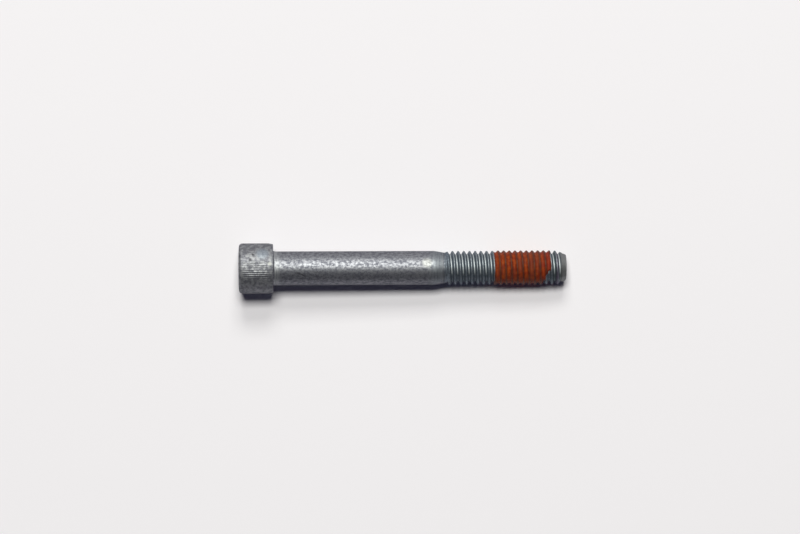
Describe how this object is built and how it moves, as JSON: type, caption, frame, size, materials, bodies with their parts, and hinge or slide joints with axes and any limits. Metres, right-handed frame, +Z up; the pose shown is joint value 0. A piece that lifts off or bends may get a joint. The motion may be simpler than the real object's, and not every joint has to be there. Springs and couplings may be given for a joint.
{
  "type": "hex socket cap screw",
  "caption": "Long partly threaded cap screw with a knurled round head, a hex socket, a plain shank and a dried thread-locking coating near the tip.",
  "frame": {"origin": "on the surface that the screw lies on, below the middle of its length", "axes": "+X along the screw from the head towards the tip, +Z up. The axis of the screw drops by 1.66 degrees towards the tip, because the head is wider than the coated thread and both touch the surface."},
  "size_m": [0.0914, 0.014, 0.0142],
  "materials": {
    "steel": "plain grey steel with a thin mottled coating, satin, scuffed",
    "dried_coating": "dried orange-red thread-locking coating, matt, with ragged edges"
  },
  "bodies": {
    "root": {"cap_screw": "steel", "locking_patch": "dried_coating"}
  },
  "joints": []
}
